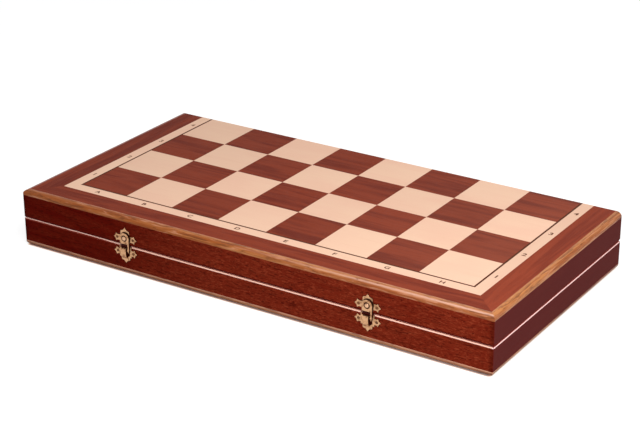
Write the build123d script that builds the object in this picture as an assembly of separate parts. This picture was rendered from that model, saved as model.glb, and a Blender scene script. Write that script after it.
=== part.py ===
"""Folding chess box: two hinged trays whose outer faces are the two halves of a chess board.

Millimetres, +Z up.  The origin is the middle of the lower face, X runs along the files a to h,
-Y is the front with the clasps and +Y is the back with the hinges.  Both trays are built with
the board face down at z = 0 and the rim at z = tray_height; the upper tray is the mirror image
about the seam, with the square colours exchanged so that the open board alternates.
"""

from build123d import *
from math import cos, radians, sin, sqrt
import os

# ---------------------------------------------------------------- driving dimensions, board
square = 50.0            # side of one playing square
files = 8                # squares along the box
ranks_per_half = 4       # squares across one tray
glue_line = 0.02         # gap between neighbouring veneer squares
line_width = 1.8         # dark stringing line round the playing field
light_width = 10.7       # light border that carries the coordinates
dark_width = 21.0        # dark outer border
moulding_width = 5.5     # rounded lipping round the board panel
moulding_round = 4.6     # radius of its outer edge
veneer_thickness = 0.6
panel_thickness = 4.9    # board panel with its veneer, also the height of the lipping

# ---------------------------------------------------------------- driving dimensions, tray
half_height = 27.0       # from a board face to the seam, where the hinge axis lies
rim_gap = 0.2            # between the rims of the closed trays, which the knuckles hold apart
wall_thickness = 9.0
rim_thickness = 1.6      # strip on top of the walls
lower_groove_rise = 1.1  # height of the bevel on the outer edge of the lower rim
upper_groove_rise = 1.5  # the same on the upper rim
groove_depth = 0.8       # depth of both bevels
corner_radius = 1.0      # eased vertical edges at the front
felt_thickness = 1.0
felt_margin = 0.3        # gap between the felt and the walls

# ---------------------------------------------------------------- driving dimensions, hinges
hinge_offset = 125.0     # each hinge from the middle of the box
hinge_proud = 0.1        # pin axis behind the back wall, so the open trays just clear
leaf_length = 40.0
leaf_width = 7.6         # from the pin axis to the inner edge of the leaf
leaf_gap = 0.1           # leaf surface below the rim
leaf_fit = 0.1           # gap round the leaf in its recess
knuckle_radius = 2.0
knuckle_gap = 0.25       # room round a knuckle in the wood and in the other leaf
knuckle_end_gap = 0.15   # between neighbouring knuckles
knuckle_count = 3
pin_radius = 1.0
pin_clearance = 0.05
screw_spacing = 22.0
screw_count = 2          # in each leaf
screw_side = 1.3         # square shank
screw_neck_radius = 0.95 # lower end of the countersunk head
screw_head_radius = 2.0
screw_length = 12.0
wood_clearance = 0.03    # round a screw or nail in the wood and in its plate

# ---------------------------------------------------------------- driving dimensions, clasps
left_clasp_x = -122.2    # the clasps are set by eye, not quite evenly
right_clasp_x = 125.3
clasp_sheet = 0.7        # brass sheet
upper_row = 6.6          # nails of the upper plate above the seam
lower_row = 6.5          # nails of the catch plate below the seam
nail_offset = 8.6        # nails and star centres from the middle of the clasp
star_points = 5
star_tip = 4.1
star_valley = 2.6
neck_half_height = 2.8   # bar that joins the stars to the middle of the plate
crown_height = 10.4      # middle point of the crown from the nail row
crown_side_x = 4.5
crown_side_height = 7.3
crown_valley_x = 1.8
crown_valley_height = 8.1
plate_half_width = 5.0
plate_foot = 4.7         # lower end of the upper plate, below its nail row
catch_half_width = 6.5
catch_top = 6.1          # ears of the catch plate above its nail row
catch_notch_half = 5.4
catch_notch_floor = 4.05
body_reach = 4.6         # from the nail row to where the crown starts
nail_side = 1.0          # square shank
nail_length = 7.0
nail_head_radius = 1.3
nail_crown_radius = 0.7  # flat top of the head
nail_head_height = 0.4
rivet_rise = 0.5         # rivet above the nail row
rivet_radius = 1.2
rivet_clearance = 0.05
rivet_shoulder_radius = 2.6
rivet_shoulder = 0.6     # holds the hook clear of the nail heads
rivet_head_radius = 2.2
rivet_crown_radius = 1.4 # flat top of the head
rivet_head_height = 0.9
hook_sheet = 0.7
hook_play = 0.05         # between shoulder and hook, and hook and rivet head
hook_head_radius = 5.1
hook_head_half = 4.9     # half width of the square lower part of the head
hook_head_foot = 5.4     # lower edge of the head below the rivet
hook_dimple_radius = 2.9
hook_dimple_depth = 0.3
hook_arm_width = 1.7
hook_tip_inset = 0.6     # finger tip from the right edge of the arm
hook_toe_left = 1.6      # end of the toe, left of the rivet
hook_toe_height = 1.7
hook_tip_drop = 1.5      # finger tip below the toe
strap_left = 3.9         # strap of the catch, left and right of the clasp's middle
strap_right = 1.8
strap_length = 10.2
strap_straight = 6.8     # part of the strap that is parallel to the plate
window_right = 4.6       # the window beside the strap, where the toe goes in
window_corner_high = 2.5 # its lower corner is cut off, from here below the nail row
window_corner_low = 4.8  # to here beside the strap
strap_clearance = 0.2    # between the hook and the strap
toe_clearance = 0.25     # between the toe and the roof of the strap
bend_radius = 0.7        # outside radius of the bends in the strap
edge_break = 0.2         # tumbled edges of the sheet brass

# ---------------------------------------------------------------- derived sizes
border_width = line_width + light_width + dark_width + moulding_width
length = files * square + 2 * border_width
width = ranks_per_half * square + border_width
right_x = length / 2
back_y = width / 2
field_left = -files * square / 2
field_front = back_y - ranks_per_half * square
seam_z = half_height
tray_height = half_height - rim_gap / 2
wall_top = tray_height - rim_thickness
leaf_sheet = rim_thickness - leaf_gap
leaf_top = tray_height - leaf_gap
axis_y = back_y + hinge_proud
knuckle_room = knuckle_radius + knuckle_gap

SIDES = ("front", "left", "right", "back")


# ---------------------------------------------------------------- shared shapes
def plan(side, inset, depth, closed):
    """Mitred strip of a frame seen from above.  An open frame has no back side."""
    x_out, y_out = right_x - inset, back_y - inset
    x_in, y_in = x_out - depth, y_out - depth
    if side in ("front", "back"):
        s = -1 if side == "front" else 1
        corners = [(-x_out, s * y_out), (x_out, s * y_out), (x_in, s * y_in), (-x_in, s * y_in)]
    else:
        s = -1 if side == "left" else 1
        rear = [(s * x_in, y_in), (s * x_out, y_out)] if closed else [(s * x_in, back_y), (s * x_out, back_y)]
        corners = [(s * x_out, -y_out), (s * x_in, -y_in), *rear]
    return make_face(Polyline(*corners, close=True))


def slab(face, low, high):
    """The plane figure raised from one height to another."""
    return extrude(Pos(0, 0, low) * face, amount=high - low, dir=(0, 0, 1))


def side_bar(side, profile):
    """A section, drawn inwards from the outer face and up, run along one side of the box."""
    origin, inward = {
        "front": ((0, -back_y, 0), (0, 1, 0)),
        "back": ((0, back_y, 0), (0, -1, 0)),
        "left": ((-right_x, 0, 0), (1, 0, 0)),
        "right": ((right_x, 0, 0), (-1, 0, 0)),
    }[side]
    along = Vector(*inward).cross(Vector(0, 0, 1))
    section = Plane(origin=origin, x_dir=inward, z_dir=along)
    return extrude(section * profile, amount=length, both=True)


def eased_outline():
    """Upright block with the plan of the box, its two front corners eased."""
    outline = Rectangle(length, width)
    front_corners = outline.vertices().filter_by(lambda v: v.Y < 0)
    return slab(fillet(front_corners, corner_radius), -half_height, 2 * half_height)


def along_x(radius, x_low, x_high):
    """Round bar on the hinge axis."""
    start = Plane(origin=(x_low, axis_y, seam_z), z_dir=(1, 0, 0))
    return start * extrude(Circle(radius), amount=x_high - x_low)


def group(solids):
    """Several loose solids that share one name."""
    return Compound(children=[s for shape in solids for s in shape.solids()])


# ---------------------------------------------------------------- board panel
def veneer_squares(odd):
    """The squares of one colour: those whose file and rank counts add up to odd or even."""
    tile = square - glue_line
    made = []
    for i in range(files):
        for j in range(ranks_per_half):
            if (i + j) % 2 == odd:
                x = field_left + (i + 0.5) * square
                y = field_front + (j + 0.5) * square
                made.append(Pos(x, y, veneer_thickness / 2) * Box(tile, tile, veneer_thickness))
    return group(made)


def veneer_frame(inset, strip):
    """Three mitred veneer strips round the front and the two ends."""
    return group([slab(plan(s, inset, strip, False), 0, veneer_thickness) for s in SIDES[:3]])


def panel_core():
    """Plywood board that carries the veneer, flush with the back wall."""
    x_size, y_size = length - 2 * moulding_width, width - moulding_width
    centre = Pos(0, moulding_width / 2, (veneer_thickness + panel_thickness) / 2)
    return centre * Box(x_size, y_size, panel_thickness - veneer_thickness)


def moulding(side):
    """Lipping, flush with the board face and the wall, with a rounded outer edge."""
    section = Pos(moulding_width / 2, panel_thickness / 2) * Rectangle(moulding_width, panel_thickness)
    outer_corner = section.vertices().sort_by(lambda v: v.X + v.Y)[0]
    bar = side_bar(side, fillet(outer_corner, moulding_round))
    return slab(plan(side, 0, moulding_width, False), 0, panel_thickness) & bar & eased_outline()


# ---------------------------------------------------------------- walls and rim
def hinge_places():
    return (-hinge_offset, hinge_offset)


def screw_places(x_hinge):
    first = x_hinge - screw_spacing * (screw_count - 1) / 2
    return [first + k * screw_spacing for k in range(screw_count)]


def screw_y():
    """Screws sit midway between the knuckle's room and the inner edge of the leaf."""
    return axis_y - (knuckle_room + leaf_width) / 2


def knuckle_room_bar(x_hinge):
    reach = leaf_length / 2 + leaf_fit
    return along_x(knuckle_room, x_hinge - reach, x_hinge + reach)


def nail_bores(row_z):
    """Holes in the front wall for the clasp nails."""
    bores = []
    for x_clasp in (left_clasp_x, right_clasp_x):
        for s in (-1, 1):
            depth, side = nail_length + wood_clearance, nail_side + 2 * wood_clearance
            bores.append(Pos(x_clasp + s * nail_offset, depth / 2 - back_y, row_z) * Box(side, depth, side))
    return bores


def wall(side, nail_row):
    """One mitred wall between the board panel and the rim strip."""
    body = slab(plan(side, 0, wall_thickness, True), panel_thickness, wall_top) & eased_outline()
    if side == "front":
        for bore in nail_bores(nail_row):
            body -= bore
    if side == "back":
        for x_hinge in hinge_places():
            body -= knuckle_room_bar(x_hinge)
            for x in screw_places(x_hinge):
                body -= Pos(x, screw_y(), leaf_top) * screw_shank(wood_clearance)
    return body


def rim_strip(side, groove_rise):
    """Strip on the wall, bevelled outside so that the closed trays meet in a groove."""
    bevel = Polyline(
        (0, wall_top), (wall_thickness, wall_top), (wall_thickness, tray_height),
        (groove_depth, tray_height), (0, tray_height - groove_rise), close=True,
    )
    bar = side_bar(side, make_face(bevel))
    body = slab(plan(side, 0, wall_thickness, True), wall_top, tray_height) & bar & eased_outline()
    if side == "back":
        recess_depth = leaf_width + leaf_fit
        for x_hinge in hinge_places():
            recess = Box(leaf_length + 2 * leaf_fit, 2 * recess_depth, 2 * rim_thickness)
            body -= Pos(x_hinge, axis_y, tray_height) * recess
    return body


def felt():
    """Felt sheet glued to the floor of the tray."""
    x_size = length - 2 * (wall_thickness + felt_margin)
    y_size = width - 2 * (wall_thickness + felt_margin)
    return Pos(0, 0, panel_thickness + felt_thickness / 2) * Box(x_size, y_size, felt_thickness)


# ---------------------------------------------------------------- hinges
def knuckle_spans(x_hinge, own):
    """Start and end of each knuckle of one leaf: the even ones are the lower leaf's."""
    pitch = leaf_length / knuckle_count
    first = x_hinge - leaf_length / 2
    spans = []
    for k in range(knuckle_count):
        if k % 2 == own:
            low = first + k * pitch + (knuckle_end_gap / 2 if k else 0)
            high = first + (k + 1) * pitch - (knuckle_end_gap / 2 if k < knuckle_count - 1 else 0)
            spans.append((low, high))
    return spans


def hinge_leaf(x_hinge, own):
    """Brass leaf let into the rim, with its knuckles rolled round the pin."""
    inner_y, outer_y = axis_y - leaf_width, axis_y - knuckle_room
    mid_z = wall_top + leaf_sheet / 2
    body = Pos(x_hinge, (inner_y + outer_y) / 2, mid_z) * Box(leaf_length, outer_y - inner_y, leaf_sheet)
    for low, high in knuckle_spans(x_hinge, own):
        tongue = Box(high - low, axis_y - outer_y, leaf_sheet)
        body += Pos((low + high) / 2, (axis_y + outer_y) / 2, mid_z) * tongue
        body += along_x(knuckle_radius, low, high)
    reach = leaf_length / 2
    body -= along_x(pin_radius + pin_clearance, x_hinge - reach, x_hinge + reach)
    for x in screw_places(x_hinge):
        body -= Pos(x, screw_y(), leaf_top) * screw_head(wood_clearance)
    return body


def hinge_pin(x_hinge):
    return along_x(pin_radius, x_hinge - leaf_length / 2, x_hinge + leaf_length / 2)


def screw_head(extra):
    """Countersunk head as deep as the leaf, with its flat side at z = 0, or the hole for it."""
    hanging = (Align.CENTER, Align.CENTER, Align.MAX)
    return Cone(screw_neck_radius + extra, screw_head_radius + extra, leaf_sheet, align=hanging)


def screw_shank(extra):
    """Shank of a hinge screw below z = 0, or the hole for it."""
    hanging = (Align.CENTER, Align.CENTER, Align.MAX)
    return Box(screw_side + 2 * extra, screw_side + 2 * extra, screw_length + extra, align=hanging)


def hinge_screws():
    screws = []
    for x_hinge in hinge_places():
        for x in screw_places(x_hinge):
            screws.append(Pos(x, screw_y(), leaf_top) * (screw_head(0) + screw_shank(0)))
    return group(screws)


# ---------------------------------------------------------------- clasps
# Drawn in the plane of the front wall: x to the right, y up, z out of the wall.
hook_back = clasp_sheet + rivet_shoulder + hook_play
hook_front = hook_back + hook_sheet
strap_under = hook_front + strap_clearance
strap_face = strap_under + clasp_sheet
rivet_z = seam_z + upper_row + rivet_rise
catch_z = seam_z - lower_row
roof_y = catch_z + catch_notch_floor - rivet_z        # top of the strap, seen from the rivet
toe_radius = clasp_sheet - roof_y + toe_clearance     # upper edge of the toe, about the rivet


def clasp_plane(x_clasp, height):
    return Plane(origin=(x_clasp, -back_y, height), x_dir=(1, 0, 0), z_dir=(0, -1, 0))


def star(x, pointing):
    """Pointed lobe with one of its tips at the given angle."""
    points = []
    for k in range(2 * star_points):
        reach = star_tip if k % 2 == 0 else star_valley
        angle = radians(pointing + 180 / star_points * k)
        points.append((x + reach * cos(angle), reach * sin(angle)))
    return make_face(Polyline(*points, close=True))


def crown():
    """Three-pointed end of both plates, above the nail row."""
    right = [(crown_side_x, crown_side_height), (crown_valley_x, crown_valley_height)]
    left = [(-x, y) for x, y in reversed(right)]
    base = body_reach / 2
    return make_face(Polyline(
        (-plate_half_width, base), (plate_half_width, base), (plate_half_width, body_reach),
        *right, (0, crown_height), *left, (-plate_half_width, body_reach), close=True,
    ))


def stars_and_crown():
    neck = Rectangle(2 * nail_offset, 2 * neck_half_height)
    return star(nail_offset, 0) + star(-nail_offset, 180) + neck + crown()


def drilled(sheet):
    """Takes the two nail holes out of a plate."""
    for s in (-1, 1):
        side = nail_side + 2 * wood_clearance
        sheet -= Pos(s * nail_offset, 0) * Rectangle(side, side)
    return sheet


def stamped(sketch, thickness):
    """Sheet part with its front edge broken by tumbling."""
    body = extrude(sketch, amount=thickness)
    return chamfer(body.faces().sort_by(Axis.Z)[-1].outer_wire().edges(), edge_break)


def upper_plate(x_clasp):
    """Plate on the upper tray that the hook turns on."""
    middle = Pos(0, (body_reach - plate_foot) / 2) * Rectangle(2 * plate_half_width, body_reach + plate_foot)
    sheet = drilled(stars_and_crown() + middle)
    sheet -= Pos(0, rivet_rise) * Circle(rivet_radius + wood_clearance)
    return clasp_plane(x_clasp, seam_z + upper_row) * stamped(sheet, clasp_sheet)


def strap_section():
    """Side view of the strap: out from the plate, down past the toe and back in."""
    top, low = catch_notch_floor, catch_notch_floor - strap_length
    knee = top - strap_straight
    outside = make_face(Polyline(
        (0, low), (0, top), (strap_face, top), (strap_face, knee), (clasp_sheet, low), close=True,
    ))
    bends = [v for v in outside.vertices() if v.X > clasp_sheet + bend_radius]
    outside = fillet(bends, bend_radius)
    run, rise = strap_length - strap_straight, strap_face - clasp_sheet
    slope = sqrt(run ** 2 + rise ** 2) / run
    inside = make_face(Polyline(
        (0, low + slope * clasp_sheet), (0, top - clasp_sheet), (strap_under, top - clasp_sheet),
        (strap_under, knee), (clasp_sheet, low + slope * clasp_sheet), close=True,
    ))
    return outside - inside


def catch_plate(x_clasp):
    """Lower plate with a strap pressed out of it for the toe of the hook."""
    height = body_reach + catch_top
    middle = Pos(0, (catch_top - body_reach) / 2) * Rectangle(2 * catch_half_width, height)
    notch_height = catch_top - catch_notch_floor
    notch = Pos(0, catch_notch_floor + notch_height / 2) * Rectangle(2 * catch_notch_half, notch_height)
    mirrored_crown = mirror(stars_and_crown(), about=Plane.XZ)
    body = stamped(drilled(mirrored_crown + middle - notch), clasp_sheet)
    strap_width = strap_left + strap_right
    window_low = catch_notch_floor - strap_length + clasp_sheet
    window_high = catch_notch_floor
    middle_x = (strap_right - strap_left) / 2
    window = Pos(middle_x, (window_low + window_high) / 2) * Rectangle(strap_width, window_high - window_low)
    sill = catch_notch_floor - clasp_sheet
    window += make_face(Polyline(
        (strap_right, sill), (window_right, sill), (window_right, -window_corner_high),
        (strap_right, -window_corner_low), close=True,
    ))
    body -= extrude(window, amount=clasp_sheet)
    side_view = Plane(origin=(-strap_left, 0, 0), x_dir=(0, 0, 1), z_dir=(-1, 0, 0))
    body += extrude(side_view * strap_section(), amount=-strap_width)
    return clasp_plane(x_clasp, catch_z) * body


def hook_outline():
    """Round head with a flat foot, an arm at its right and a toe that points left."""
    head = Circle(hook_head_radius)
    head += Pos(0, -hook_head_foot / 2) * Rectangle(2 * hook_head_half, hook_head_foot)
    arm_right = hook_head_half
    arm_left = arm_right - hook_arm_width
    toe_low = toe_radius + hook_toe_height
    arm = make_face(Polyline(
        (arm_left, -hook_head_foot + hook_arm_width), (arm_right, -hook_head_foot + hook_arm_width),
        (arm_right, -toe_radius), (arm_right - hook_tip_inset, -toe_low - hook_tip_drop),
        (arm_left, -toe_low), close=True,
    ))
    toe = Circle(toe_low) - Circle(toe_radius)
    toe_span = hook_toe_left + (arm_left + arm_right) / 2
    toe_middle = toe_span / 2 - hook_toe_left
    toe &= Pos(toe_middle, -toe_radius) * Rectangle(toe_span, 2 * hook_toe_height)
    return head + arm + toe


def hook(x_clasp):
    """Swinging hook."""
    sheet = hook_outline() - Circle(rivet_radius + rivet_clearance)
    body = stamped(sheet, hook_sheet)
    dimple_floor = hook_sheet - hook_dimple_depth
    dimple = Pos(0, 0, dimple_floor) * extrude(Circle(hook_dimple_radius), amount=hook_sheet)
    return clasp_plane(x_clasp, rivet_z) * (Pos(0, 0, hook_back) * (body - dimple))


def rivet(x_clasp):
    """Shouldered rivet, with its head sunk in the dimple of the hook."""
    seat = hook_front - hook_dimple_depth + hook_play
    top = seat + rivet_head_height
    rise = clasp_sheet + rivet_shoulder
    outline = Polyline(
        (0, 0), (rivet_radius, 0), (rivet_radius, clasp_sheet), (rivet_shoulder_radius, clasp_sheet),
        (rivet_shoulder_radius, rise), (rivet_radius, rise), (rivet_radius, seat), (rivet_head_radius, seat),
        (rivet_crown_radius, top), (0, top), close=True,
    )
    turned = revolve(Plane.XZ * make_face(outline), Axis.Z)
    return clasp_plane(x_clasp, rivet_z) * turned


def nails(x_clasp, row_z):
    """Pair of round-headed brass nails."""
    standing = (Align.CENTER, Align.CENTER, Align.MIN)
    head = Cone(nail_head_radius, nail_crown_radius, nail_head_height, align=standing)
    nail = Pos(0, 0, clasp_sheet) * head
    nail += Pos(0, 0, -nail_length) * Box(nail_side, nail_side, nail_length + clasp_sheet, align=standing)
    return group([clasp_plane(x_clasp + s * nail_offset, row_z) * nail for s in (-1, 1)])


# ---------------------------------------------------------------- assembly
def tray(name, odd_dark, nail_row, groove_rise, own_knuckles):
    """Every piece of one tray, board face down."""
    made = {
        "panel_core": panel_core(),
        "dark_squares": veneer_squares(odd_dark),
        "light_squares": veneer_squares(1 - odd_dark),
        "line_inlay": veneer_frame(moulding_width + dark_width + light_width, line_width),
        "light_border": veneer_frame(moulding_width + dark_width, light_width),
        "dark_border": veneer_frame(moulding_width, dark_width),
        "felt_lining": felt(),
        "rim_strips": group([rim_strip(s, groove_rise) for s in SIDES]),
        "hinge_screws": hinge_screws(),
    }
    for side in SIDES[:3]:
        made[side + "_moulding"] = moulding(side)
    for side in SIDES:
        made[side + "_wall"] = wall(side, nail_row)
    for label, x_hinge in zip(("left", "right"), hinge_places()):
        made[label + "_hinge_leaf"] = hinge_leaf(x_hinge, own_knuckles)
    return {name + "_" + piece: shape for piece, shape in made.items()}


def clasp(label, x_clasp):
    return {
        label + "_clasp_plate": upper_plate(x_clasp),
        label + "_clasp_rivet": rivet(x_clasp),
        label + "_clasp_hook": hook(x_clasp),
        label + "_catch_plate": catch_plate(x_clasp),
        label + "_clasp_plate_nails": nails(x_clasp, seam_z + upper_row),
        label + "_catch_plate_nails": nails(x_clasp, catch_z),
    }


def build():
    nodes = tray("lower", 1, seam_z - lower_row, lower_groove_rise, 0)
    seam = Plane.XY.offset(seam_z)
    # The upper tray is built upside down, so its nail row starts below the seam too.
    for node, shape in tray("upper", 0, seam_z - upper_row, upper_groove_rise, 1).items():
        nodes[node] = mirror(shape, about=seam)
    for label, x_hinge in zip(("left", "right"), hinge_places()):
        nodes[label + "_hinge_pin"] = hinge_pin(x_hinge)
    for label, x_clasp in (("left", left_clasp_x), ("right", right_clasp_x)):
        nodes.update(clasp(label, x_clasp))
    return nodes


os.makedirs("parts", exist_ok=True)
for node, shape in build().items():
    export_step(shape, f"parts/{node}.step")
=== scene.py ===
"""Looks of the folding chess box: veneers, lacquered walls, ochre mouldings, felt and brass."""

import math

import bpy
from mathutils import Matrix, Vector, noise


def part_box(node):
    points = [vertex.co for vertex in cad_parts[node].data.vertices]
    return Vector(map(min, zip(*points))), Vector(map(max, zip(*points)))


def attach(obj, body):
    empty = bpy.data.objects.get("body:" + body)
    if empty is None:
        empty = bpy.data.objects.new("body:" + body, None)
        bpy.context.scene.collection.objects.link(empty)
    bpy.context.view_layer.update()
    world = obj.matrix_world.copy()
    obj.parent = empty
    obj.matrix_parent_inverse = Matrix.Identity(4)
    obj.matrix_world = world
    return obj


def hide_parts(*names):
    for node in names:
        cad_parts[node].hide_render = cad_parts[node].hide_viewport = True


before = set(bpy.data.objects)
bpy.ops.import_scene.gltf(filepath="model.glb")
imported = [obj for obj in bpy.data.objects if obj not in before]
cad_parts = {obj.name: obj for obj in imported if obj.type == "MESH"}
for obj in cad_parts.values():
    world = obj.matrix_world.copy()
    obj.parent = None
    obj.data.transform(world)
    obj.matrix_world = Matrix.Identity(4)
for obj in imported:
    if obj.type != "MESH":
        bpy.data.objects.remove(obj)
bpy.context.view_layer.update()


# ---------------------------------------------------------------- board panels
# Each tray has a birch plywood panel between the mouldings, with the veneers glued to its
# outer face. Its cut plies show as thin lines along the back edge, above and below the walls.

class Shade:
    """One socket of a node tree. Python's operators on it add Math nodes."""

    def __init__(self, tree, socket):
        self.tree = tree
        self.socket = socket

    def maths(self, operation, first, second=0.0):
        values = {"Value": first, "Value_001": second}
        return self.tree.add("Math", {"operation": operation}, values)

    def __add__(self, other):
        return self.maths("ADD", self, other)

    def __radd__(self, other):
        return self.maths("ADD", other, self)

    def __sub__(self, other):
        return self.maths("SUBTRACT", self, other)

    def __rsub__(self, other):
        return self.maths("SUBTRACT", other, self)

    def __mul__(self, other):
        return self.maths("MULTIPLY", self, other)

    def __rmul__(self, other):
        return self.maths("MULTIPLY", other, self)

    def __truediv__(self, other):
        return self.maths("DIVIDE", self, other)

    def __lt__(self, other):
        return self.maths("LESS_THAN", self, other)

    def __gt__(self, other):
        return self.maths("GREATER_THAN", self, other)

    def __abs__(self):
        return self.maths("ABSOLUTE", self)

    def step(self, low, high):
        """0 below low, 1 above high and a smooth rise between them."""
        sockets = {"Value": self, "From Min": low, "From Max": high}
        return self.tree.add("MapRange", {"interpolation_type": "SMOOTHSTEP"}, sockets)


class NodeTree:
    """Adds nodes to the tree of a material or of the world."""

    def __init__(self, block):
        block.use_nodes = True
        self.tree = block.node_tree

    def feed(self, socket, value):
        """Links what was worked out in nodes to the socket, or sets its plain value."""
        if isinstance(value, Shade):
            self.tree.links.new(value.socket, socket)
        else:
            socket.default_value = value

    def add(self, kind, settings, sockets, output=0):
        """A node with its settings, then the values or links of its sockets, by identifier."""
        node = self.tree.nodes.new("ShaderNode" + kind)
        for name, value in settings.items():
            setattr(node, name, value)
        for identifier, value in sockets.items():
            self.feed(next(s for s in node.inputs if s.identifier == identifier), value)
        return Shade(self, node.outputs[output])


NOISE_ROUGHNESS = 0.55  # how much each finer layer of a noise counts


class Finish(NodeTree):
    """A finish in the making: one Principled shader and what paints it."""

    def __init__(self, name, **even):
        self.material = bpy.data.materials.new(name)
        super().__init__(self.material)
        self.shader = self.tree.nodes["Principled BSDF"]
        self.set(**even)

    def set(self, **sockets):
        for name, value in sockets.items():
            self.feed(self.shader.inputs[name.replace("_", " ")], value)

    def place(self):
        """Where a point of the piece is, in metres."""
        return self.add("TexCoord", {}, {}, output=3)

    def axes(self, vector):
        first = self.add("SeparateXYZ", {}, {"Vector": vector})
        return [Shade(self, socket) for socket in first.socket.node.outputs]

    def turned(self, vector, degrees):
        """The same place with the grain, which runs at that angle from X, brought to X."""
        back = {"Vector": vector, "Rotation": (0, 0, -math.radians(degrees))}
        return self.add("Mapping", {}, back)

    def mix(self, share, first, second):
        """The first colour, and the second where share is 1."""
        colours = {"Factor_Float": share, "A_Color": first, "B_Color": second}
        return self.add("Mix", {"data_type": "RGBA"}, colours, output=2)

    def scaled(self, vector, factor):
        return self.add("VectorMath", {"operation": "SCALE"}, {"Vector": vector, "Scale": factor})

    def streaks(self, space, length, width, seed, detail=3.0, distortion=0.0):
        """Noise drawn out along the grain. Length and width are those of one streak, in metres."""
        scale = (1 / length, 1 / width, 1 / width)
        drawn = self.add("Mapping", {}, {"Vector": space, "Location": (seed, 0, 0), "Scale": scale})
        sockets = {"Vector": drawn, "Scale": 1.0, "Detail": detail}
        sockets.update({"Roughness": NOISE_ROUGHNESS, "Distortion": distortion})
        return self.add("TexNoise", {}, sockets)

    def relief(self, height, depth):
        """Hollows and ridges: height runs from 0 to 1, and depth is the whole rise in metres."""
        bumps = {"Strength": 1.0, "Distance": depth, "Height": height}
        self.set(Normal=self.add("Bump", {}, bumps))


def srgb(red, green, blue):
    """A colour as a paint chart gives it, from 0 to 255, made linear."""
    linear = []
    for value in (red / 255, green / 255, blue / 255):
        linear.append(value / 12.92 if value <= 0.04045 else ((value + 0.055) / 1.055) ** 2.4)
    return (*linear, 1.0)


def dress(name, finish):
    """Gives every slot of a CAD node's object one finish."""
    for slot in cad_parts[name].material_slots:
        slot.material = finish.material


TRAYS = ("lower", "upper")
BIRCH = srgb(226, 190, 146)
BIRCH_CROSS_PLY = srgb(176, 128, 84)
PLY = 0.0013            # thickness of one ply

plywood = Finish("birch_plywood", Roughness=0.7, Specular_IOR_Level=0.25)
place = plywood.place()
height = plywood.axes(place)[2]
ply = plywood.add("Math", {"operation": "PINGPONG"}, {"Value": height, "Value_001": PLY})
cross = (ply / PLY).step(0.42, 0.58)
grain = plywood.streaks(place, 0.02, 0.0006, seed=3.1)
base = plywood.mix(cross * 0.8 + grain * 0.2, BIRCH, BIRCH_CROSS_PLY)
plywood.set(Base_Color=base)
plywood.relief(grain, 0.0001)
for tray in TRAYS:
    dress(tray + "_panel_core", plywood)


# ---------------------------------------------------------------- playing squares
# Squares of sliced mahogany and of maple, 50 mm a side. The dark ones come from strips that
# were cut side by side, so the same dark bands run through all the squares of one rank.

SQUARE = 0.05
MAHOGANY = srgb(133, 55, 34)
MAHOGANY_BAND = srgb(102, 35, 22)
MAHOGANY_PORE = srgb(70, 20, 12)
MAHOGANY_RED = srgb(168, 72, 44)
MAPLE = srgb(240, 198, 169)
MAPLE_PINK = srgb(236, 187, 161)
MAPLE_STREAK = srgb(227, 177, 146)
# the colour of a painted sheen, which stands in for the lacquer's reflection
PAINTED_SHEEN_COLOUR = srgb(205, 160, 140)
DARK_TONE = 0.985       # shares of the colours' brightness
MAPLE_TONE = 0.965
DARK_SPREAD = 0.05      # the squares differ in tone by up to these shares
LIGHT_SPREAD = 0.025
LIT_RIGHT_RATE = 0.2        # painted light: gain in tone over a metre to the right
SQUARE_SHEEN = 0.25      # and gain in painted sheen, on squares and borders
BORDER_SHEEN = 0.06

field_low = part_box("upper_dark_squares")[0]


def lit_right_tone(finish, place):
    """Painted light: a tone of 1 in the middle, paler towards the right, where more light falls."""
    return 1 + LIT_RIGHT_RATE * finish.axes(place)[0]


def with_painted_sheen(finish, colour, rate):
    """The colour with a painted sheen, a pale reflection that grows towards the right."""
    return finish.mix(rate * finish.axes(finish.place())[0], colour, PAINTED_SHEEN_COLOUR)


def square_tone(finish, place, spread):
    """One random value for each square, from 1 - spread to 1 + spread."""
    start = (-field_low.x / SQUARE, -field_low.y / SQUARE, 0)
    counted = {"Vector": place, "Location": start, "Scale": (1 / SQUARE, 1 / SQUARE, 0)}
    in_squares = finish.add("Mapping", {}, counted)
    cell = finish.add("VectorMath", {"operation": "FLOOR"}, {"Vector": in_squares})
    return 1 - spread + 2 * spread * finish.add("TexWhiteNoise", {}, {"Vector": cell})


def mahogany(finish, space, tone, sheen_rate, redder=0.0):
    """Bands, fine streaks and open pores of oiled mahogany veneer."""
    bands = finish.streaks(space, 0.14, 0.011, seed=1.7, detail=4.0, distortion=1.1)
    streaks = finish.streaks(space, 0.03, 0.0018, seed=6.3, detail=4.0, distortion=0.6)
    pores = finish.streaks(space, 0.004, 0.00022, seed=9.1, detail=1.0).step(0.6, 0.72)
    base = finish.mix(bands.step(0.4, 0.68) * 0.85 + (streaks - 0.5) * 0.9, MAHOGANY, MAHOGANY_BAND)
    base = finish.mix(redder, base, MAHOGANY_RED)
    base = finish.mix(pores * 0.4, base, MAHOGANY_PORE)
    base = with_painted_sheen(finish, finish.scaled(base, tone), sheen_rate)
    finish.set(Base_Color=base, Roughness=0.4 + 0.2 * streaks)
    finish.relief(streaks * 0.4 - pores, 0.00003)


def maple(finish, space, tone):
    """Close, even maple with faint streaks."""
    clouds = finish.streaks(space, 0.09, 0.03, seed=4.4, detail=2.0)
    streaks = finish.streaks(space, 0.05, 0.0016, seed=2.6, detail=4.0)
    base = finish.mix(clouds.step(0.3, 0.7) * 0.6, MAPLE, MAPLE_PINK)
    base = finish.mix(streaks.step(0.5, 0.85) * 0.3, base, MAPLE_STREAK)
    finish.set(Base_Color=finish.scaled(base, tone), Roughness=0.42 + 0.12 * streaks)
    finish.relief(streaks, 0.00002)


dark_square = Finish("mahogany_squares", Specular_IOR_Level=0.03)
place = dark_square.place()
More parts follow.
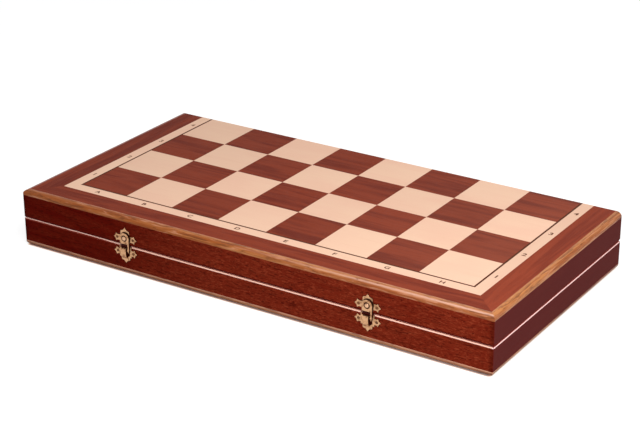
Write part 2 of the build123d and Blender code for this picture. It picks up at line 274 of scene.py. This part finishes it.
# a random tone for each square, times painted light towards the right
tone = square_tone(dark_square, place, DARK_SPREAD) * lit_right_tone(dark_square, place)
mahogany(dark_square, place, DARK_TONE * tone, SQUARE_SHEEN)

light_square = Finish("maple_squares", Specular_IOR_Level=0.12)
place = light_square.place()
tone = square_tone(light_square, place, LIGHT_SPREAD) * lit_right_tone(light_square, place)
maple(light_square, place, MAPLE_TONE * tone)

for tray in TRAYS:
    dress(tray + "_dark_squares", dark_square)
    dress(tray + "_light_squares", light_square)


# ---------------------------------------------------------------- line and borders
# A dark stringing line, a maple border and a mahogany border run round three sides of each
# half. Every strip is mitred at the front corners, with its grain along its length. The right
# maple strip came out a little darker than the others, and the right mahogany one redder.

low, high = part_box("upper_front_wall")
HALF_LENGTH = high.x
FRONT = low.y
LINE_BROWN = srgb(90, 46, 28)
LINE_DARK = srgb(60, 28, 16)
RIGHT_DARKER = 0.06
RIGHT_REDDER = 0.15


def on_side(finish, closed=False):
    """1 on the left and right strips of a frame, open or closed at the back, 0 on the others."""
    x, y, z = finish.axes(finish.place())
    return HALF_LENGTH - abs(x) < (-FRONT - abs(y) if closed else y - FRONT)


def on_right(finish):
    """1 on the right strip of a border, and 0 on the others."""
    return on_side(finish) * (finish.axes(finish.place())[0] > 0)


def grain_space(finish, closed=False):
    """Place with the grain brought to X in each mitred strip of a frame."""
    place = finish.place()
    both = {"Factor_Float": on_side(finish, closed), "A_Vector": place}
    both["B_Vector"] = finish.turned(place, 90)
    return finish.add("Mix", {"data_type": "VECTOR"}, both, output=1)


line = Finish("stringing_line", Roughness=0.6, Specular_IOR_Level=0.05)
fibre = line.streaks(grain_space(line), 0.01, 0.0003, seed=5.0)
line.set(Base_Color=line.mix(fibre * 0.6, LINE_BROWN, LINE_DARK))

light_border = Finish("maple_border", Specular_IOR_Level=0.12)
tone = MAPLE_TONE - RIGHT_DARKER * on_right(light_border)
maple(light_border, grain_space(light_border), tone)

dark_border = Finish("mahogany_border", Specular_IOR_Level=0.03)
tone = lit_right_tone(dark_border, dark_border.place())
redder = RIGHT_REDDER * on_right(dark_border)
mahogany(dark_border, grain_space(dark_border), tone, BORDER_SHEEN, redder)

for tray in TRAYS:
    dress(tray + "_line_inlay", line)
    dress(tray + "_light_border", light_border)
    dress(tray + "_dark_border", dark_border)


# ---------------------------------------------------------------- coordinates
# The letters of the files and the numbers of the ranks, printed in brown on the maple border.
# Each half is read from its own front edge, and is numbered towards the hinge.

CAPITAL = 0.0041        # height of the letters
NUMERAL = 0.0049        # and of the numbers, which are a little larger
WIDTH = 1.25            # both are wide for their height
CAPITAL_SHARE = 0.7     # height of a capital for a font size of 1
INK_THICKNESS = 0.00003
INK_WEIGHT = 0.00016    # what the ink spread past the outline of a letter
INK_SPECK = 0.0004      # size of the specks where it is worn
INK_BROWN = srgb(98, 58, 42)
FILE_NAMES = "ABCDEFGH"
FILE_SHIFTS = (-0.0022, 0, 0, 0.0004, 0, -0.0014, -0.0009, 0.0003)  # printed off the middle
RANK_NAMES = {"upper": "1234", "lower": "8765"}
LEFT_SHIFTS = (0, 0.0014, 0.0003, 0.0014)       # and how far the left numbers are off theirs
LEFT_FAINT = 0.2        # the numbers on the left took less ink

border_low, border_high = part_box("upper_light_border")
line_low, line_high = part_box("upper_line_inlay")
letter_row = (border_low.y + line_low.y) / 2
left_column, right_column = (border_low.x + line_low.x) / 2, (border_high.x + line_high.x) / 2

ink = Finish("coordinate_ink", Roughness=0.6, Specular_IOR_Level=0.05)
wear = ink.streaks(ink.place(), INK_SPECK, INK_SPECK, seed=8.0)
faint = (ink.axes(ink.place())[0] < left_column + NUMERAL) * LEFT_FAINT
ink.set(Base_Color=ink.mix(wear.step(0.6, 0.85) * 0.4 + faint, INK_BROWN, MAPLE_STREAK))


def printed(text, height, x, y, tray):
    """One flat character, centred on its place and facing out of the board."""
    low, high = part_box(tray + "_light_border")
    if tray == "upper":
        lift, turn = high.z + INK_THICKNESS / 2, 0
    else:
        lift, turn = low.z - INK_THICKNESS / 2, math.pi
    bpy.ops.object.text_add()
    sign = bpy.context.object
    sign.data.body = text
    sign.data.size = height / CAPITAL_SHARE
    sign.data.extrude = INK_THICKNESS / 2
    sign.data.offset = INK_WEIGHT
    bpy.ops.object.convert(target="MESH")
    sign = bpy.context.object
    points = [v.co for v in sign.data.vertices]
    middle = Vector((max(p.x for p in points) + min(p.x for p in points),
                     max(p.y for p in points) + min(p.y for p in points), 0)) / 2
    facing = Matrix.Translation((x, y, lift)) @ Matrix.Rotation(turn, 4, "Y")
    wide = Matrix.Diagonal((WIDTH, 1, 1, 1))
    sign.data.transform(facing @ wide @ Matrix.Translation(-middle))
    return sign


def joined(pieces, name):
    """Several objects made one."""
    bpy.ops.object.select_all(action="DESELECT")
    for piece in pieces:
        piece.select_set(True)
    bpy.context.view_layer.objects.active = pieces[0]
    if len(pieces) > 1:
        bpy.ops.object.join()
    bpy.context.object.name = name
    return bpy.context.object


for tray in TRAYS:
    signs = []
    for i, name in enumerate(FILE_NAMES):
        middle = field_low.x + (i + 0.5) * SQUARE + FILE_SHIFTS[i]
        signs.append(printed(name, CAPITAL, middle, letter_row, tray))
    for j, name in enumerate(RANK_NAMES[tray]):
        middle = field_low.y + (j + 0.5) * SQUARE
        for column, shift in ((left_column, LEFT_SHIFTS[j]), (right_column, 0)):
            signs.append(printed(name, NUMERAL, column, middle + shift, tray))
    coordinates = joined(signs, tray + "_coordinates")
    coordinates.data.materials.append(ink.material)
    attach(coordinates, tray + "_half")


# ---------------------------------------------------------------- mouldings
# Rounded lippings of an ochre hardwood, mitred at the front corners and glued round the panel.
# They are left natural under the lacquer, so the long streaks of the grain stand out.

OCHRE = srgb(158, 82, 26)
OCHRE_DARK = srgb(92, 42, 14)
OCHRE_PALE = srgb(196, 126, 70)
OCHRE_SHADE = srgb(150, 72, 18)
SAPWOOD = srgb(214, 152, 120)
HIGHLIGHT_PINK = srgb(214, 164, 142)
PALE_ARRIS = 0.0008         # the arris against the veneer or the wall is paler, over this width
SHADE_FROM = 0.1         # painted shade: the front lipping gets darker to the left of here, over this length
SHADE_OVER = 0.36
HIGHLIGHT_INSET = 0.0019    # a painted highlight follows the rounding, this far in from the front
HIGHLIGHT_SOFT = 0.0012
HIGHLIGHT_RISE = (-0.04, 0.2)      # it comes up between these places along the front, and faintly covers the front there
SHADE_BELOW_TOP = 0.0012    # below the board face, where painted shade begins on the part of the rounding that faces the front
SHADE_BELOW_SOFT = 0.0008
SHADE_BELOW_RISE = (-0.12, 0.2)
LEFT_SHADE_DROP = 0.0011     # painted shade in the border's colour on the left lipping, which faces away from the light, down to here
ALONG_TONE = 0.86       # brightness along the front, and on the two sides
ACROSS_TONE = 0.88

moulding_low, moulding_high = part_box("lower_front_moulding")
board_top = border_high.z
lipping = {}
for name, degrees, tone in (("along", 0, ALONG_TONE), ("across", 90, ACROSS_TONE)):
    made = Finish("ochre_lipping_" + name, Specular_IOR_Level=0.25)
    place = made.place()
    space = made.turned(place, degrees)
    x, y, z = made.axes(place)
    bands = made.streaks(space, 0.08, 0.0022, seed=7.7, detail=4.0, distortion=0.6)
    fibres = made.streaks(space, 0.009, 0.0004, seed=1.2)
    flames = made.streaks(space, 0.022, 0.0021, seed=3.9, detail=4.0, distortion=1.2)
    base = made.mix(bands.step(0.38, 0.62), OCHRE_PALE, OCHRE)
    if name == "along":
        # painted shade towards the left end of the front lipping
        base = made.mix((SHADE_FROM - x).step(0, SHADE_OVER) * 0.8, base, OCHRE_SHADE)
        # painted highlight on the rounding of the front lipping, and a faint one over the rest of
        # its right part
        highlight = abs(y - moulding_low.y - HIGHLIGHT_INSET).step(HIGHLIGHT_SOFT, 0)
        base = made.mix(x.step(*HIGHLIGHT_RISE) * (0.15 + 0.85 * highlight), base, HIGHLIGHT_PINK)
        # painted shade on the upper front rounding below the board face, where it faces the front
        under = (z > board_top / 2) * (board_top - SHADE_BELOW_TOP - z).step(0, SHADE_BELOW_SOFT)
        base = made.mix(under * x.step(*SHADE_BELOW_RISE) * 0.7, base, OCHRE_SHADE)
        arris = (y - moulding_high.y + PALE_ARRIS).step(0, PALE_ARRIS)
        low_arris = (z < moulding_high.z) * (z - moulding_high.z + 2 * PALE_ARRIS).step(0, PALE_ARRIS)
        base = made.mix(arris * 0.6 + low_arris * 0.95, base, SAPWOOD)
    else:
        # painted shade in the border's colour on the left lippings
        left_shade = (x < 0) * (abs(z - board_top / 2) > board_top / 2 - LEFT_SHADE_DROP)
        base = made.mix(left_shade, base, MAHOGANY)
    base = made.mix(flames.step(0.52, 0.64) * 0.62, base, OCHRE_DARK)
    base = made.mix(flames.step(0.46, 0.32) * 0.5, base, SAPWOOD)
    base = made.mix(fibres.step(0.5, 0.75) * 0.4, base, OCHRE_DARK)
    made.set(Base_Color=made.scaled(base, tone), Roughness=0.28 + 0.2 * fibres)
    made.relief(1 - fibres, 0.00005)
    lipping[name] = made

for tray in TRAYS:
    dress(tray + "_front_moulding", lipping["along"])
    dress(tray + "_left_moulding", lipping["across"])
    dress(tray + "_right_moulding", lipping["across"])


# ---------------------------------------------------------------- walls
# Solid walls, 9 mm thick and mitred at the corners, stained deep red and lacquered. The figure
# is fine and short, with paler flecks that wave a little along the grain.

WALL_RED = srgb(120, 38, 20)
WALL_DEEP = srgb(90, 10, 3)
WALL_DARK = srgb(56, 6, 2)
WALL_FLECK = srgb(148, 62, 38)
HOOK_SHADOW_RED = srgb(30, 4, 2)
# the end walls' colours hold a painted sheen, a pale reflection that makes them duller and more
# purple than the front
END_RED_SHEENED = srgb(94, 34, 30)
END_DEEP_SHEENED = srgb(84, 28, 26)
CORNER_REACH = 0.006    # the stain is deeper along the mitred corners
FRONT_SHADE_ENDS = (-0.18, -0.02)  # painted shade: the front is dark at its left end and turns red between these places
HOOK_SHADOW_HALF_WIDTH = 0.0045    # half the width of the painted shadow on the wall behind each hook
HOOK_SHADOW_UP = (0.0145, 0.027)        # and the heights between which it lies
FACE = 0.001            # a point no deeper than this is on the front face

LEFT_CLASP, RIGHT_CLASP = [
    sum(corner.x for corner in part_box(side + "_clasp_plate")) / 2 for side in ("left", "right")
]


def past_clasp(finish):
    """How far a point is to the right of the middle of the nearer clasp."""
    x = finish.axes(finish.place())[0]
    return x - LEFT_CLASP - (x > 0) * (RIGHT_CLASP - LEFT_CLASP)


stain = {}
for name, degrees in (("along", 0), ("across", 90)):
    made = Finish("red_stain_" + name, Specular_IOR_Level=0.01, Roughness=0.45)
    place = made.place()
    x, y, z = made.axes(place)
    space = made.turned(place, degrees)
    clouds = made.streaks(space, 0.05, 0.007, seed=2.2)
    fibres = made.streaks(space, 0.008, 0.0003, seed=8.8, detail=2.0)
    if name == "along":
        # painted shade at the left end of the front, with clouds in the stain
        red = x.step(*FRONT_SHADE_ENDS) * 0.7 + (clouds - 0.5) * 0.8
        base = made.mix(red + 0.1, WALL_DEEP, WALL_RED)
        flecks = made.streaks(space, 0.007, 0.0016, seed=5.5, distortion=2.2)
        curls = made.streaks(space, 0.011, 0.002, seed=1.9, distortion=2.4)
        ribbons = made.streaks(space, 0.05, 0.003, seed=6.1, distortion=0.8)
        base = made.mix(flecks.step(0.52, 0.6) * 0.75 * (0.1 + red), base, WALL_FLECK)
        base = made.mix(curls.step(0.52, 0.62) * 0.62, base, WALL_DARK)
        base = made.mix(ribbons.step(0.55, 0.75) * 0.4, base, WALL_DARK)
        base = made.mix(fibres.step(0.5, 0.8) * 0.3, base, WALL_DARK)
        corner = (HALF_LENGTH - abs(x)).step(CORNER_REACH, 0)
        base = made.mix(corner * 0.6, base, WALL_DARK)
        # painted shadow of each hook on the front wall
        behind = (abs(past_clasp(made)) < HOOK_SHADOW_HALF_WIDTH) * (y < FRONT + FACE)
        behind = behind * (z > HOOK_SHADOW_UP[0]) * (z < HOOK_SHADOW_UP[1])
        base = made.mix(behind * 0.85, base, HOOK_SHADOW_RED)
    else:
        base = made.mix(clouds, END_RED_SHEENED, END_DEEP_SHEENED)
        base = made.mix(fibres.step(0.5, 0.8) * 0.25, base, WALL_DEEP)
    made.set(Base_Color=base)
    made.relief(fibres, 0.00003)
    stain[name] = made

for tray in TRAYS:
    for side in ("front", "back"):
        dress(f"{tray}_{side}_wall", stain["along"])
    for side in ("left", "right"):
        dress(f"{tray}_{side}_wall", stain["across"])


# ---------------------------------------------------------------- rim strips
# A thin strip caps the walls of each tray and is bevelled outside. The lower strip is bare
# maple, which shows as a pale line round the closed box, and the upper one is stained.

RIM_MAPLE = srgb(248, 198, 178)
RIM_STREAK = srgb(226, 164, 140)
RIM_PINK = srgb(254, 212, 212)  # the maple of the right end, and partly of the left one, where it is a painted highlight on the bevel
LEFT_END = (-0.09, -0.17)       # the left end begins and is complete at these places
STAIN_CREEP = 0.00015   # how far the stain of the wall crept onto the bare strip
LEFT_CREEP = 0.0009     # and how much further at the left
END_GROOVE_SHADE = (0.00005, 0.0012)    # how deep painted shade lies in the groove along the end walls
FRONT_GROOVE_SHADE = (0.0005, 0.00079)  # and in the groove along the front and back
RIM_SHADOW_REACH = 0.0055    # painted shadow of the hooks on the strip, this far to each side
RIM_SHADOW_SOFT = 0.0008
RIM_SHADOW_DEEP = (0.0016, 0.0009)   # and this deep into the groove, from none to full

rim_pale = Finish("maple_rim", Specular_IOR_Level=0.12)
x, y, z = rim_pale.axes(rim_pale.place())
to_end = HALF_LENGTH - abs(x)
to_front = -FRONT - abs(y)
left = x.step(*LEFT_END)
# painted shade in the groove, in the wall's red
groove_shade = (to_end > END_GROOVE_SHADE[0]) * (to_end < END_GROOVE_SHADE[1]) * (to_end < to_front)
groove_shade = groove_shade + (to_front > FRONT_GROOVE_SHADE[0]) * (to_front < FRONT_GROOVE_SHADE[1]) * (1 - left)
fibres = rim_pale.streaks(grain_space(rim_pale, closed=True), 0.02, 0.0006, seed=2.6)
bare = rim_pale.mix(fibres.step(0.4, 0.8) * 0.5, RIM_MAPLE, RIM_STREAK)
# the pink at the left end is a painted highlight on the bevel
bare = rim_pale.mix(left * 0.3 + (x > HALF_LENGTH - END_GROOVE_SHADE[1]) * 0.7, bare, RIM_PINK)
creep = STAIN_CREEP + LEFT_CREEP * left
# the stain that crept onto the strip, and the painted shade in the groove
crept = (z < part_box("lower_rim_strips")[0].z + creep) + groove_shade
# painted shadow of each hook on the rim strip
hook_shadow_on_rim = abs(past_clasp(rim_pale)).step(RIM_SHADOW_REACH + RIM_SHADOW_SOFT, RIM_SHADOW_REACH - RIM_SHADOW_SOFT)
hook_shadow_on_rim = hook_shadow_on_rim * (y - FRONT).step(*RIM_SHADOW_DEEP)
stained = rim_pale.mix(crept, bare, WALL_RED)
rim_pale.set(Base_Color=rim_pale.mix(hook_shadow_on_rim, stained, WALL_DARK), Roughness=0.45 + 0.1 * fibres)

rim_dark = Finish("stained_rim", Specular_IOR_Level=0.02)
fibres = rim_dark.streaks(grain_space(rim_dark, closed=True), 0.012, 0.0004, seed=3.3)
rim_dark.set(Base_Color=rim_dark.mix(fibres.step(0.4, 0.7), WALL_DEEP, WALL_DARK))
dress("lower_rim_strips", rim_pale)
dress("upper_rim_strips", rim_dark)


# ---------------------------------------------------------------- felt lining
# Green wool felt, 1 mm thick, cut a little smaller than the floor of each tray and glued down.
# Its cut edge is soft and slightly uneven.

FELT_GREEN = srgb(28, 72, 50)
FELT_LIGHT = srgb(52, 104, 74)
NAP = 0.0006            # size of a tuft
PATCH = 0.03
FELT_MESH = 0.004       # size of the faces
FELT_WAVER = 0.0005     # how unevenly the edge was cut
FELT_WAVES = 70         # how often it wavers in a metre
FELT_SEED = 1.0
FELT_SOFT = 0.00025     # rounding of the edge
FELT_PILE = 0.0004
FELT_SMOOTH = math.radians(40)

felt = Finish("green_felt", Roughness=0.95, Specular_IOR_Level=0.1)
felt.set(Sheen_Weight=0.35, Sheen_Roughness=0.6)
nap = felt.streaks(felt.place(), NAP, NAP, seed=4.0, distortion=1.0)
patches = felt.streaks(felt.place(), PATCH, PATCH, seed=7.0)
felt.set(Base_Color=felt.mix(nap * 0.7 + patches * 0.3, FELT_GREEN, FELT_LIGHT))
felt.relief(nap, FELT_PILE)

for tray in TRAYS:
    low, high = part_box(tray + "_felt_lining")
    size, middle = high - low, (high + low) / 2
    bpy.ops.object.select_all(action="DESELECT")
    bpy.ops.mesh.primitive_grid_add(x_subdivisions=round(size.x / FELT_MESH),
                                    y_subdivisions=round(size.y / FELT_MESH), size=1)
    sheet = bpy.context.object
    sheet.name = tray + "_felt_sheet"
    for point in (vertex.co for vertex in sheet.data.vertices):
        at_edge = [abs(c) > 0.499 for c in point[:2]]
        point.xyz = (point.x * size.x, point.y * size.y, 0)
        waver = noise.noise(Vector((point.x * FELT_WAVES, point.y * FELT_WAVES, FELT_SEED)))
        for axis in (0, 1):
            if at_edge[axis]:
                point[axis] -= math.copysign(FELT_WAVER * abs(waver), point[axis])
        point.xyz = (point.x + middle.x, point.y + middle.y, middle.z)
    for kind, settings in (
        ("SOLIDIFY", {"thickness": size.z, "offset": 0}),
        ("BEVEL", {"width": FELT_SOFT, "segments": 3, "limit_method": "ANGLE"}),
    ):
        step = sheet.modifiers.new(kind.lower(), kind)
        for setting, value in settings.items():
            setattr(step, setting, value)
        bpy.ops.object.modifier_apply(modifier=step.name)
    bpy.ops.object.shade_smooth_by_angle(angle=FELT_SMOOTH)
    sheet.data.materials.append(felt.material)
    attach(sheet, tray + "_half")
    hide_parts(tray + "_felt_lining")


# ---------------------------------------------------------------- brass hardware
# Hinges, clasps and nails are stamped from thin brass, tumbled and lacquered in an antique
# tone, darker where the lacquer lies thick. The hinge pins are steel.

BRASS = srgb(199, 155, 117)
LEAF_BRASS = srgb(196, 164, 110)
BRASS_DARK = srgb(126, 83, 52)
# the rivet's paler brass is a painted highlight
RIVET_BRASS_HIGHLIGHTED = srgb(213, 169, 134)
# the black of the patina, and of the painted shade on plates and hooks
BRASS_BLACK = srgb(56, 18, 6)
NAIL_BRASS = srgb(92, 62, 44)
PIN_STEEL = srgb(190, 188, 184)
PIN_DARK = srgb(120, 118, 116)
PLATE_BRIGHT = (0.00063, 0.0007)    # how far off the wall the black ends, and the bright begins
HOOK_BRIGHT = (0.00195, 0.00205)
RIVET_BRIGHT = (0.0021, 0.0026)
NAIL_BRIGHT = (0.0007, 0.0011)
RIVET_HEAD = 0.0022     # radius of its head
RIVET_RING = (0.0011, 0.0003)   # the patina round it, outwards from the head: clean, then dark
PLATE_SHADOW_RADIUS = 0.0054     # radius of the painted shadow on the plate behind the head of the hook
PLATE_SHADOW_SOFT = 0.0001
PLATE_SHADOW_SHIFT = 0.0006       # it lies up and to the right of the rivet
SHADED_TOE_RIGHT = 0.0031      # right end and top of the painted shade on the toe, from the rivet
SHADED_TOE_TOP = -0.0065

rivet_low, rivet_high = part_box("left_clasp_rivet")
RIVET_UP = (rivet_low.z + rivet_high.z) / 2


def antique_brass(name, bright_share=None, brass=BRASS, rough=0.34):
    """Brass with a brown patina, left in the hollows and worn off where it stands out; the masks of
    plates and hooks also hold painted shade.
    """
    made = Finish(name, Metallic=1.0)
    patina = made.streaks(made.place(), 0.003, 0.003, seed=6.6, detail=4.0, distortion=0.5)
    grit = made.streaks(made.place(), 0.0005, 0.0005, seed=9.9, detail=2.0)
    base = made.mix(patina.step(0.42, 0.68) * 0.8, brass, BRASS_DARK)
    if bright_share:
        base = made.mix(bright_share(made), BRASS_BLACK, base)
    made.set(Base_Color=base, Roughness=rough + 0.25 * patina)
    made.relief(grit, 0.00003)
    return made


def out_of_wall(made, low, high):
    """0 below one height off the front wall and 1 above another."""
    return (FRONT - made.axes(made.place())[1]).step(low, high)


def from_rivet(made, shift=0):
    """A point's place beside and above the nearer rivet, and its distance from there, shifted."""
    x = past_clasp(made)
    up = made.axes(made.place())[2] - RIVET_UP
    square = (x - shift) * (x - shift) + (up - shift) * (up - shift)
    return x, up, made.add("Math", {"operation": "SQRT"}, {"Value": square})


def plate_rubbed_and_shadowed(made):
    """The outer face is bright but for a painted shadow behind the head of the hook."""
    away = from_rivet(made, PLATE_SHADOW_SHIFT)[2]
    hook_shadow = away.step(PLATE_SHADOW_RADIUS + PLATE_SHADOW_SOFT, PLATE_SHADOW_RADIUS - PLATE_SHADOW_SOFT)
    return out_of_wall(made, *PLATE_BRIGHT) * (1 - 0.9 * hook_shadow)


def hook_rubbed_and_shaded(made):
    """The outer face is bright but for the ring round the rivet, and for painted shade on the toe,
    behind the strap.
    """
    x, up, away = from_rivet(made)
    clear = 1 - (away - RIVET_HEAD).step(*RIVET_RING) * 0.75
    toe = (x < SHADED_TOE_RIGHT) * (up < SHADED_TOE_TOP)
    return out_of_wall(made, *HOOK_BRIGHT) * clear * (1 - toe)


def rivet_rubbed(made):
    return out_of_wall(made, *RIVET_BRIGHT)


def nail_rubbed(made):
    return out_of_wall(made, *NAIL_BRIGHT)


plate_brass = antique_brass("plate_brass", plate_rubbed_and_shadowed)
hook_brass = antique_brass("hook_brass", hook_rubbed_and_shaded)
rivet_brass = antique_brass("rivet_brass", rivet_rubbed, brass=RIVET_BRASS_HIGHLIGHTED, rough=0.2)
nail_brass = antique_brass("nail_brass", nail_rubbed, brass=NAIL_BRASS)
leaf_brass = antique_brass("leaf_brass", brass=LEAF_BRASS)

steel = Finish("steel_pin", Metallic=1.0)
wire = steel.streaks(steel.place(), 0.02, 0.0004, seed=2.0)
steel.set(Base_Color=steel.mix(wire * 0.4, PIN_STEEL, PIN_DARK), Roughness=0.3 + 0.2 * wire)

HARDWARE = {"hinge_pin": steel, "hinge_leaf": leaf_brass, "plate": plate_brass, "hook": hook_brass}
for word, finish in HARDWARE.items():
    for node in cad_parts:
        if word in node:
            dress(node, finish)

# Rivets, nails and screws are turned: rivets and nails have domed heads, and screws a slot. The
# outlines are in millimetres, as radius and height, from the foot to the head.
TURNED_SIDES = 24
RIVET_OUTLINE = (
    (1.2, 0), (1.2, 0.7), (2.6, 0.7), (2.6, 1.3), (1.2, 1.3), (1.2, 1.8), (2.2, 1.8), (2.2, 1.95),
    (2.08, 2.2), (1.8, 2.42), (1.4, 2.58), (0.9, 2.67), (0.4, 2.7),
)
NAIL_OUTLINE = (
    (0.1, -7.0), (0.5, -5.8), (0.5, 0.7), (1.3, 0.7),
    (1.27, 0.84), (1.1, 0.98), (0.8, 1.07), (0.4, 1.1),
)
SCREW_OUTLINE = (
    (0.1, -12), (0.65, -10.4), (0.65, -1.6), (0.95, -1.5), (1.95, -0.1), (2.0, -0.03), (1.9, 0),
)
SLOT = (0.0005, 0.005, 0.0012)  # width, length, and twice its depth
SLOT_TURNS = (0.4, 1.9)         # where the outer and the inner screw of a leaf stopped, in radians
HEAD_SMOOTH = math.radians(35)  # flatter edges than this are shaded round


def turned(outline):
    """A round piece on the Z axis, drawn up from its foot along an outline."""
    bpy.ops.object.select_all(action="DESELECT")
    radius, foot = outline[0]
    bpy.ops.mesh.primitive_circle_add(vertices=TURNED_SIDES, radius=radius / 1000,
                                      fill_type="NGON", location=(0, 0, foot / 1000))
    bpy.ops.object.transform_apply()
    bpy.ops.object.mode_set(mode="EDIT")
    for (radius, low), (wider, high) in zip(outline, outline[1:]):
        rise = (0, 0, (high - low) / 1000)
        bpy.ops.mesh.extrude_region_move(TRANSFORM_OT_translate={"value": rise})
        bpy.ops.transform.resize(value=(wider / radius, wider / radius, 1))
    bpy.ops.mesh.select_all(action="SELECT")
    bpy.ops.mesh.normals_make_consistent(inside=False)
    bpy.ops.object.mode_set(mode="OBJECT")
    return bpy.context.object


def driven(pattern, name, places, node, body, finish):
    """Copies of one turned piece at their places, as one object that stands for a CAD node."""
    copies = []
    for place in places:
        copy = bpy.data.objects.new(name, pattern.data.copy())
        bpy.context.collection.objects.link(copy)
        copy.data.transform(place)
        copies.append(copy)
    made = joined(copies, name)
    bpy.ops.object.shade_smooth_by_angle(angle=HEAD_SMOOTH)
    made.data.materials.append(finish.material)
    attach(made, body)
    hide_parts(node)


def from_front(x, z):
    """Turns a piece to stand out of the front wall, at that place."""
    return Matrix.Translation((x, FRONT, z)) @ Matrix.Rotation(math.pi / 2, 4, "X")


rivet = turned(RIVET_OUTLINE)
nail = turned(NAIL_OUTLINE)
for side, middle in (("left", LEFT_CLASP), ("right", RIGHT_CLASP)):
    places = [from_front(middle, RIVET_UP)]
    node = side + "_clasp_rivet"
    driven(rivet, side + "_domed_rivet", places, node, "upper_half", rivet_brass)
    for plate, body in (("clasp_plate", "upper_half"), ("catch_plate", "lower_half")):
        node = f"{side}_{plate}_nails"
        low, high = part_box(node)
        reach = (high.z - low.z) / 2
        places = [from_front(x, low.z + reach) for x in (low.x + reach, high.x - reach)]
        driven(nail, f"{side}_{plate}_domed_nails", places, node, body, nail_brass)

screw = turned(SCREW_OUTLINE)
bpy.ops.object.select_all(action="DESELECT")
bpy.ops.mesh.primitive_cube_add(size=1, location=(0, 0, 0))
cutter = bpy.context.object
cutter.data.transform(Matrix.Diagonal((*SLOT, 1)))
bpy.context.view_layer.objects.active = screw
cut = screw.modifiers.new("slot", "BOOLEAN")
cut.object = cutter
bpy.ops.object.modifier_apply(modifier=cut.name)
bpy.data.objects.remove(cutter)

for tray, facing in (("lower", 0), ("upper", math.pi)):
    low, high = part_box(tray + "_hinge_screws")
    reach = (high.y - low.y) / 2
    places = []
    for side in ("left", "right"):
        leaf_low, leaf_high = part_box(f"{tray}_{side}_hinge_leaf")
        leaf_middle = (leaf_low.x + leaf_high.x) / 2
        outer = high.x - reach if side == "right" else low.x + reach
        for x, turn in zip((outer, 2 * leaf_middle - outer), SLOT_TURNS):
            face = high.z if tray == "lower" else low.z
            place = Matrix.Translation((x, low.y + reach, face)) @ Matrix.Rotation(facing, 4, "X")
            # Adding x makes the slots of the two hinges differ a little.
            places.append(place @ Matrix.Rotation(turn + x, 4, "Z"))
    name, node = tray + "_slotted_screws", tray + "_hinge_screws"
    driven(screw, name, places, node, tray + "_half", leaf_brass)
for pattern in (rivet, nail, screw):
    bpy.data.objects.remove(pattern)


# ---------------------------------------------------------------- stage, lamps and camera
# A pale floor that keeps the shadow of the box, a white surround, soft lamps above and in
# front, and a camera a little above the box, in front of its right corner.

FLOOR_DROP = 0.00005    # the floor lies this far below the box, clear of its ink
FLOOR_SIZE = 8.0
FLOOR_GREY = (0.4, 0.4, 0.4, 1)
FLOOR_GLOW = 0.78       # makes up for the grey, so that the floor is white but for the shadow
FAR_GLOW = 1.0          # further out, past the reach of the lamps
FAR = (0.5, 1.9)        # where the one goes over into the other
CONTACT_REACH = 0.0022  # how far the painted contact shadow under the mouldings spreads
CONTACT_DARK = (0.15, 0.4, 0.5)     # it is a painted brown, as if bounced off the wood: each colour goes black at its own openness
OPEN = 0.95             # and none is darkened from here on
RIGHT_OPEN = (0.232, 0.238)         # the painted contact shadow is lighter under the right moulding, as if light from the right got under it
RIGHT_SHARE = 0.8
SKY = 0.22              # how strongly the white surround lights the box
BOX_MIDDLE = Vector((0, 0, 0.03))
CAMERA_PLACE = (0.78492, -1.21584, 0.66491)
CAMERA_TURN = (66.4871, 0.2328, 32.6466)    # in degrees
CAMERA_LENS = 99.71

bpy.ops.object.select_all(action="DESELECT")
bpy.ops.mesh.primitive_plane_add(size=FLOOR_SIZE, location=(0, 0, -FLOOR_DROP))
floor = bpy.context.object
floor.name = "floor"


def looked_at(tree):
    """1 for the camera's own rays, mirrored ones and those through glass, and 0 for others."""
    camera_ray, glossy_ray, transmission_ray = [
        tree.add("LightPath", {}, {}, output=i) for i in (0, 3, 6)
    ]
    return camera_ray + glossy_ray + transmission_ray


paper = Finish("floor_paper", Base_Color=FLOOR_GREY, Roughness=1.0, Specular_IOR_Level=0.0)
# painted contact shadow: an occlusion test darkens the floor's glow near the box
openness = paper.add("AmbientOcclusion", {"samples": 8}, {"Distance": CONTACT_REACH}, output=1)
at_right = paper.axes(paper.place())[0].step(*RIGHT_OPEN)
openness = openness + (1 - openness) * RIGHT_SHARE * at_right
away = paper.add("VectorMath", {"operation": "LENGTH"}, {"Vector": paper.place()}, output=1)
strength = (FLOOR_GLOW + (FAR_GLOW - FLOOR_GLOW) * away.step(*FAR)) * looked_at(paper)
glow = {axis: openness.step(dark, OPEN) * strength for axis, dark in zip("XYZ", CONTACT_DARK)}
paper.set(Emission_Strength=1.0, Emission_Color=paper.add("CombineXYZ", {}, glow))
floor.data.materials.append(paper.material)

world = bpy.data.worlds.new("white_surround")
bpy.context.scene.world = world
surround = NodeTree(world)
background = world.node_tree.nodes["Background"]
background.inputs["Color"].default_value = (1, 1, 1, 1)
surround.feed(background.inputs["Strength"], SKY + (1 - SKY) * looked_at(surround))


def lamp(name, location, size, power):
    """A square soft box that faces the middle of the box. Size in metres, power in watts."""
    bpy.ops.object.light_add(type="AREA", location=location)
    made = bpy.context.object
    made.name = name
    made.data.size = size
    made.data.energy = power
    towards = BOX_MIDDLE - Vector(location)
    made.rotation_euler = towards.to_track_quat("-Z", "Y").to_euler()


lamp("key", (0.75, -0.25, 1.15), 0.8, 9.4)
lamp("front_fill", (0.42, -0.7, 0.42), 0.3, 4.5)
lamp("right_fill", (1.1, 0.2, 0.45), 0.5, 2.5)
lamp("overhead", (-0.25, -0.12, 1.1), 0.5, 2)

bpy.ops.object.camera_add(location=CAMERA_PLACE, rotation=[math.radians(a) for a in CAMERA_TURN])
camera = bpy.context.object
camera.data.lens = CAMERA_LENS
bpy.context.scene.camera = camera
bpy.context.scene.view_settings.view_transform = "Standard"
